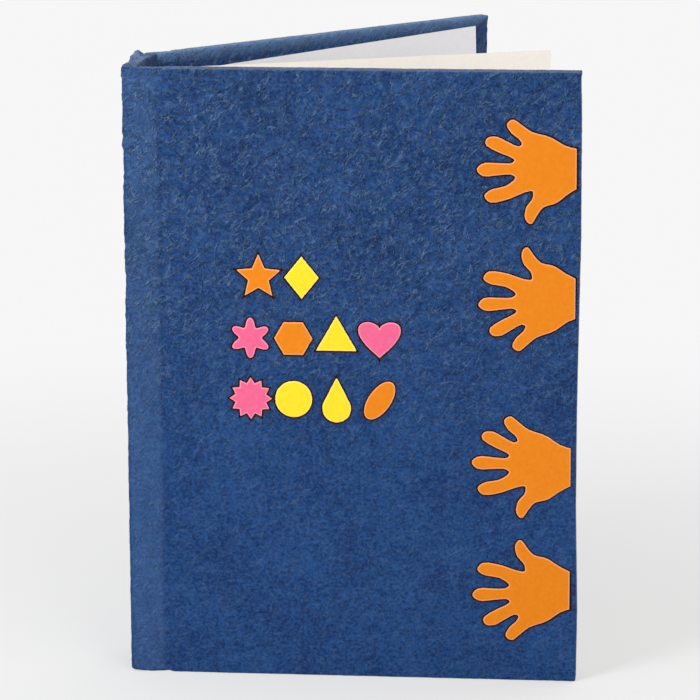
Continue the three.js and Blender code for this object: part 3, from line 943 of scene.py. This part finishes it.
def gutter(cover, finish):
    """The stretch of endpaper between the joint and the leaf's root."""
    start = cover.place([(GLUED_START, GLUED_DEPTH, 0)])[0][:2]
    further = cover.place([(GLUED_START - GUTTER_RUN, GUTTER_DEPTH, 0)])[0][:2]
    root = leaf_root(cover)
    slack = root - np.array([SLACK_OUT, SLACK_ASIDE * cover.side])
    middle = (further + slack) / 2 - np.array([SLACK_OUT, 0])
    line = flowing([start, further, middle, slack, root], LINE_STEP)
    shell = Shell()
    top = LEAF_HIGH - PASTEDOWN_DROPS[cover.name] - GUTTER_DIP
    lay_sheet(shell, upright(line, LEAF_LOW, top, GUTTER_ROWS))
    made = shell.piece(f"{cover.name}_gutter", finish)
    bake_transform(made)


def leaf_root(cover):
    """The line that an endpaper's loose leaf turns on."""
    return np.array(LEAF_JOINTS[f"{cover.name}_flyleaf"][:2])


def flyleaf(cover, finish, start_angle, end_angle):
    """An endpaper's loose leaf, a little curved."""
    low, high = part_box(f"{cover.name}_flyleaf")
    width = hypot(high.x - low.x, high.y - low.y)
    share = np.linspace(0, 1, LEAF_POINTS)
    angle = np.radians(start_angle + (end_angle - start_angle) * share)
    steps = width / (LEAF_POINTS - 1) * np.stack([np.cos(angle), np.sin(angle)], axis=1)
    line = leaf_root(cover) + np.vstack([[0, 0], np.cumsum(steps[:-1], axis=0)])
    shell = Shell()
    lay_sheet(shell, upright(line, LEAF_LOW, LEAF_HIGH, LEAF_ROWS))
    made = shell.piece(f"{cover.name}_loose_leaf", finish)
    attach(made, f"{cover.name}_flyleaf")
    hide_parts(f"{cover.name}_flyleaf")


def signature(number, random):
    """One section: folded sheets laid inside one another, trimmed a little unevenly."""
    name = f"signature_{number}"
    low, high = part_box(name)
    half = (high.y - low.y) / 2
    fold = np.linspace(pi / 2, 1.5 * pi, FOLD_POINTS)
    shell = Shell()
    for i in range(SHEETS):
        r = half * (1 - (i + 0.5) / SHEETS)
        ends = high.x + random.uniform(*FORE_EDGE_TRIM, 2) * MM
        centre = np.array([low.x + half, (low.y + high.y) / 2])
        arc = centre + r * np.stack([np.cos(fold), np.sin(fold)], axis=1)
        upper = np.linspace((ends[0], arc[0, 1]), arc[0], HALF_POINTS)[:-1]
        lower = np.linspace(arc[-1], (ends[1], arc[-1, 1]), HALF_POINTS)[1:]
        low_trim, high_trim = random.uniform(*HEAD_TRIM, 2) * MM
        line = np.vstack([upper, arc, lower])
        table = upright(line, LEAF_LOW + low_trim, LEAF_HIGH - high_trim, SECTION_ROWS)
        lay_sheet(shell, table, SHEET)
    made = shell.piece(f"section_{number}", "cream_paper")
    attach(made, name if number < SIGNATURES else "spine_and_block")
    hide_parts(name)


# Materials
def rgb(red, green, blue):
    """A colour as seen, 0 to 255, in Blender's linear numbers."""
    seen = [c / 255 for c in (red, green, blue)]
    return [c / 12.92 if c <= 0.04045 else ((c + 0.055) / 1.055) ** 2.4 for c in seen] + [1]


# Cut edges: browned, and darkened as painted shade of the narrow gaps round the card figures
BURNT_AND_GAP_SHADE = rgb(62, 34, 28)
# Dark and light as seen, and the roughness
PAPERS = {
    "greyboard": ((104, 98, 88), (146, 138, 124), 0.9),
    # The die-cut layer's window walls: burnt, and painted shade of the gap
    "burnt_card": ((44, 24, 20), (80, 48, 36), 0.9),
    "cream_paper": ((234, 229, 221), (244, 239, 232), 0.8),
    "white_paper": ((234, 232, 236), (243, 241, 244), 0.8),
    "kraft_paper": ((160, 122, 80), (190, 150, 106), 0.8),
    "gauze": ((214, 206, 188), (236, 230, 214), 0.8),
    "linen_tape": ((214, 204, 180), (232, 222, 200), 0.8),
    "linen_thread": ((214, 204, 180), (232, 222, 200), 0.8),
}
CARDS = {
    "orange_card": ((217, 120, 5), (226, 129, 9)),
    "yellow_card": ((239, 205, 27), (247, 216, 42)),
    "pink_card": ((222, 88, 130), (231, 102, 142)),
}
# The covering paper: painted shade in crease valleys, dark, light, and worn (wear, and painted highlights on edges
# and ridges)
BLUES = ((2, 27, 70), (5, 38, 84), (30, 70, 124), (92, 124, 168))
SHEEN = (214, 228, 242)
PAPER_GRAIN = 0.9
FIBRE_HEIGHT = 0.02 * MM
# Where a card's painted highlight rim and its edge, browned with painted shade of the gap, begin, in millimetres
# from the cut
HIGHLIGHT_RIM = (0.5, 0.3)
HIGHLIGHT_STRENGTH = 0.15
BROWNED_AND_SHADED = (0.13, 0.05)
# Its broken creases, in layers: their direction, number in a millimetre, breaks and strength
CREASES = [
    (-48, 0.33, 0.51, 1.0), (-22, 0.34, 0.53, 0.9), (-74, 0.37, 0.53, 0.8), (32, 0.4, 0.54, 0.5)]
CREASE_STRETCH = (0.75, 2.2, 1)
# Ridges and valleys lie where the noise is near these levels; ridges are painted lighter as wear and painted
# highlight, valleys darker as painted shade
RIDGE_AT = 0.5
VALLEY_AT = 0.56
CREASE_BAND = 0.036
CREASE_HEIGHT = 0.62 * MM


class Nodes:
    """A node tree, with short ways to add to it."""

    def __init__(self, tree):
        self.nodes = tree.nodes
        self.links = tree.links

    def feed(self, socket, value):
        if isinstance(value, bpy.types.NodeSocket):
            self.links.new(value, socket)
        else:
            socket.default_value = value

    def set(self, node, **inputs):
        for key, value in inputs.items():
            self.feed(node.inputs[key.replace("_", " ")], value)
        return node

    def node(self, kind, settings=None, **inputs):
        made = self.nodes.new("ShaderNode" + kind)
        for key, value in (settings or {}).items():
            setattr(made, key, value)
        return self.set(made, **inputs)

    def math(self, operation, *values):
        made = self.node("Math", {"operation": operation})
        for socket, value in zip(made.inputs, values):
            self.feed(socket, value)
        return made.outputs[0]

    def plus(self, a, b):
        return self.math("ADD", a, b)

    def times(self, a, b):
        return self.math("MULTIPLY", a, b)

    def both(self, a, share_a, b, share_b):
        return self.plus(self.times(a, share_a), self.times(b, share_b))

    def backdrop_rays(self):
        """1 for rays that see the backdrop, straight or in gloss or glass, and 0 for others."""
        rays = self.node("LightPath").outputs
        seen = self.math("MAXIMUM", rays["Is Camera Ray"], rays["Is Glossy Ray"])
        return self.math("MAXIMUM", seen, rays["Is Transmission Ray"])

    def show(self, output, share, first, second):
        """Ends the tree with two shaders, mixed by the share of the second."""
        mixed = self.node("MixShader", Fac=share)
        self.links.new(first.outputs[0], mixed.inputs[1])
        self.links.new(second.outputs[0], mixed.inputs[2])
        self.links.new(mixed.outputs[0], self.nodes[output].inputs["Surface"])


class Paint(Nodes):
    """A material with its one shader."""

    def __init__(self, name, roughness, specular, **inputs):
        self.material = bpy.data.materials.new(name)
        self.material.use_nodes = True
        super().__init__(self.material.node_tree)
        self.shader = self.set(
            self.nodes["Principled BSDF"], Roughness=roughness, Specular_IOR_Level=specular, **inputs)

    def ramp(self, value, *stops):
        made = self.node("ValToRGB", Fac=value)
        for element, (position, colour) in zip(made.color_ramp.elements, stops):
            element.position = position
            element.color = colour
        return made.outputs["Color"]

    def mix(self, share, a, b):
        made = self.node("Mix", {"data_type": "RGBA"})
        for number, value in zip((0, 6, 7), (share, a, b)):
            self.feed(made.inputs[number], value)
        return made.outputs[2]

    def stored(self, name):
        return self.node("Attribute", {"attribute_name": name}).outputs

    def place(self, scale=(1, 1, 1), turn=0.0, attribute=None):
        """Coordinates in millimetres, of the object or of a stored attribute, stretched."""
        source = self.stored(attribute)["Vector"] if attribute else self.node("TexCoord").outputs["Object"]
        made = self.node(
            "Mapping", {"vector_type": "TEXTURE"}, Vector=source, Rotation=(0, 0, turn),
            Scale=[MM * s for s in scale])
        return made.outputs["Vector"]

    def noise(self, where, scale, detail, roughness=0.5, distortion=0.0):
        made = self.node(
            "TexNoise", Vector=where, Scale=scale, Detail=detail, Roughness=roughness,
            Distortion=distortion)
        return made.outputs["Fac"]

    def step(self, value, start, end):
        made = self.node(
            "MapRange", {"interpolation_type": "SMOOTHSTEP"}, Value=value, From_Min=start,
            From_Max=end)
        return made.outputs[0]

    def colour(self, value):
        self.set(self.shader, Base_Color=value)

    def bump(self, height, distance):
        made = self.node("Bump", Height=height, Strength=1.0, Distance=distance)
        self.set(self.shader, Normal=made.outputs["Normal"])


def mottled(name, dark, light, roughness):
    """Card and paper: fine fibres that vary the colour a little and stand up a little."""
    paint = Paint(name, roughness, 0.35)
    where = paint.place()
    fibres = paint.noise(where, PAPER_GRAIN, 5, 0.65)
    clouds = paint.noise(where, PAPER_GRAIN / 12, 2)
    paint.colour(paint.ramp(paint.both(fibres, 0.6, clouds, 0.4), (0.3, dark), (0.7, light)))
    paint.bump(fibres, FIBRE_HEIGHT)
    return paint.material


def crinkled(name, deep, dark, light, worn):
    """Dyed handmade paper: broken creases in several directions over a fine grain, lighter where creases are worn
    and as a painted highlight on each ridge, with painted shade in the valley beside it, and a soft sheen when
    seen at a slant."""
    paint = Paint(
        name, 0.5, 0.13, Sheen_Weight=0.15, Sheen_Roughness=0.35, Sheen_Tint=rgb(*SHEEN))
    flat = paint.place(attribute="sheet")
    fibres = paint.noise(flat, 1.25, 3, 0.75)
    patches = paint.noise(flat, 0.35, 2, 0.5)
    clouds = paint.noise(flat, 0.05, 3, 0.6)
    height = paint.node("SeparateXYZ", Vector=flat).outputs["Y"]
    above = paint.step(height, LIVELY[0] / MM, LIVELY[1] / MM)
    lively = paint.plus(paint.times(above, 0.8), 0.25)

    def near(value, level):
        """1 where a value is at a level, and 0 from a narrow band on."""
        off = paint.math("ABSOLUTE", paint.math("SUBTRACT", value, level))
        return paint.step(off, CREASE_BAND, 0.0)

    # creases: ridges painted lighter, wear and painted highlight; shades: painted shade in the valleys beside them
    creases = shades = 0.0
    for turn, scale, gap, strength in CREASES:
        drawn = paint.place(CREASE_STRETCH, radians(turn), attribute="sheet")
        across = paint.noise(drawn, scale, 3, 0.55, 0.25)
        whole = paint.step(paint.noise(drawn, scale * 1.4, 1), gap - 0.05, gap + 0.08)
        whole = paint.times(whole, strength)
        creases = paint.plus(creases, paint.times(near(across, RIDGE_AT), whole))
        shades = paint.plus(shades, paint.times(near(across, VALLEY_AT), whole))
    creases = paint.times(creases, lively)
    shades = paint.times(shades, lively)
    grain = paint.both(fibres, 0.75, patches, 0.2)
    dyed = paint.ramp(paint.both(grain, 0.85, clouds, 0.2), (0.43, dark), (0.57, light))
    # Painted shade: the valley beside each ridge is painted darker
    dyed = paint.mix(paint.math("MINIMUM", paint.times(shades, 0.28), 1.0), dyed, deep)
    wear = paint.stored("wear")["Fac"]
    # Painted lighter where worn, and as painted highlights on edges and ridges
    wear_and_highlight = paint.both(paint.math("MAXIMUM", wear, 0.0), 0.35, creases, 0.5)
    blue = paint.mix(paint.math("MINIMUM", wear_and_highlight, 1.0), dyed, worn)
    # Window edges browned, with painted shade of the gap
    paint.colour(paint.mix(paint.step(wear, -1.6, -2.8), blue, BURNT_AND_GAP_SHADE))
    folds = paint.times(paint.math("SUBTRACT", creases, paint.times(shades, 0.5)), 0.6)
    paint.bump(paint.plus(paint.times(grain, lively), folds), CREASE_HEIGHT)
    return paint.material


def card(name, dark, light):
    """Coloured card with a cut edge browned and darkened as painted shade of the gap, and a thin painted highlight
    beside it.
    """
    paint = Paint(name, 0.6, 0.2)
    fibres = paint.noise(paint.place(), PAPER_GRAIN, 5, 0.65)
    face = paint.ramp(fibres, (0.3, dark), (0.7, light))
    highlight_colour = [(1 - HIGHLIGHT_STRENGTH) * c + HIGHLIGHT_STRENGTH for c in light]
    uneven = paint.plus(paint.stored("wear")["Fac"], paint.times(fibres, 0.12))
    # Painted highlight: a lighter rim just inside the cut edge
    rim = paint.mix(paint.step(uneven, *HIGHLIGHT_RIM), face, highlight_colour)
    # The cut edge browned, with painted shade of the gap
    paint.colour(paint.mix(paint.step(uneven, *BROWNED_AND_SHADED), rim, BURNT_AND_GAP_SHADE))
    paint.bump(fibres, FIBRE_HEIGHT)
    return paint.material


def finishes():
    made = {"blue_paper": crinkled("blue_paper", *(rgb(*blue) for blue in BLUES))}
    for name, (dark, light, roughness) in PAPERS.items():
        made[name] = mottled(name, rgb(*dark), rgb(*light), roughness)
    for name, (dark, light) in CARDS.items():
        made[name] = card(name, rgb(*dark), rgb(*light))
    return made


def finish_frame():
    for row in frame["record"]["subparts"]:
        frame["nodes"][row["node"]].material_slots[0].material = FINISHES[row["material_slot"]]
    # All that shows of the die-cut layer is the walls of its windows, browned and darkened as painted shade of the
    # narrow gap
    frame["nodes"]["front_diecut_card"].material_slots[0].material = FINISHES["burnt_card"]


# Floor, backdrop and light
BACKDROP = 0.925
FLOOR_RADIUS = 4.0
FLOOR_SIDES = 64
FLOOR_DROP = 0.02 * MM
FLOOR_ALBEDO = 0.8
# The share of the backdrop's grey that shows on the floor, and where it grows to all of it
FLOOR_GLOW = 0.5
FADE_START = 0.05
FADE_END = 0.36
AMBIENT = 0.56
# Each lamp's place, aim, size and power
LAMPS = {
    "back_lamp": ((0.34, 0.42, 0.9), (0, 0, 0.06), (0.7, 0.5), 1.9),
    "rake_lamp": ((-0.25, -0.36, 0.34), (0, 0, 0.1), (0.16, 0.16), 1.4),
    "fill_lamp": ((0.7, -1.2, 0.6), (0, 0, 0.07), (0.8, 0.8), 4.4),
}


def grey(level):
    return [level, level, level, 1]


def add_stage():
    mesh = bpy.data.meshes.new("floor")
    turns = [2 * pi * i / FLOOR_SIDES for i in range(FLOOR_SIDES)]
    ring = [(FLOOR_RADIUS * cos(t), FLOOR_RADIUS * sin(t), -FLOOR_DROP) for t in turns]
    mesh.from_pydata(ring, [], [list(range(FLOOR_SIDES))])
    put_in("floor", mesh)
    paint = Paint("floor", 0.9, 0.0)
    paint.colour(grey(FLOOR_ALBEDO))
    where = paint.node("TexCoord").outputs["Object"]
    away = paint.node("VectorMath", {"operation": "LENGTH"}, Vector=where).outputs["Value"]
    fade = paint.step(away, FADE_START, FADE_END)
    pale = paint.plus(paint.times(fade, 1 - FLOOR_GLOW), FLOOR_GLOW)
    glow = paint.node("Emission", Color=grey(BACKDROP))
    paint.show("Material Output", paint.times(pale, paint.backdrop_rays()), paint.shader, glow)
    mesh.materials.append(paint.material)


def add_lamp(name, place, aim, size, power):
    data = bpy.data.lights.new(name, "AREA")
    data.shape = "RECTANGLE"
    data.size, data.size_y = size
    data.energy = power
    lamp = put_in(name, data)
    lamp.location = place
    lamp.rotation_euler = (Vector(aim) - Vector(place)).to_track_quat("-Z", "Y").to_euler()


def add_light():
    world = bpy.data.worlds.new("studio")
    world.use_nodes = True
    tree = Nodes(world.node_tree)
    lit = tree.set(tree.nodes["Background"], Color=grey(1), Strength=AMBIENT)
    shown = tree.node("Background", Color=grey(1), Strength=BACKDROP)
    tree.show("World Output", tree.backdrop_rays(), lit, shown)
    bpy.context.scene.world = world
    for name, lamp in LAMPS.items():
        add_lamp(name, *lamp)


def add_cover_papers():
    windows = [finer(loop) for loop in face_loops("front_diecut_card", FRONT)[1:]]
    cover_paper(FRONT, windows)
    cover_paper(BACK, [])
    spine_paper()
    corner_paper(FRONT)
    corner_paper(BACK)


def add_inlays():
    for row in frame["record"]["subparts"]:
        if "_inlay" in row["node"]:
            inlay(row["node"], row["material_slot"])


def add_leaves():
    for make in (pastedown, gutter):
        make(FRONT, "cream_paper")
        make(BACK, "white_paper")
    flyleaf(FRONT, "cream_paper", 0, 0)
    flyleaf(BACK, "cream_paper", *BACK_LEAF_ANGLES)
    random = np.random.default_rng(TRIM_SEED)
    for number in range(1, SIGNATURES + 1):
        signature(number, random)


FINISHES = finishes()
add_camera()
finish_frame()
add_cover_papers()
add_inlays()
add_leaves()
add_stage()
add_light()

bpy.context.scene.view_settings.view_transform = "Standard"
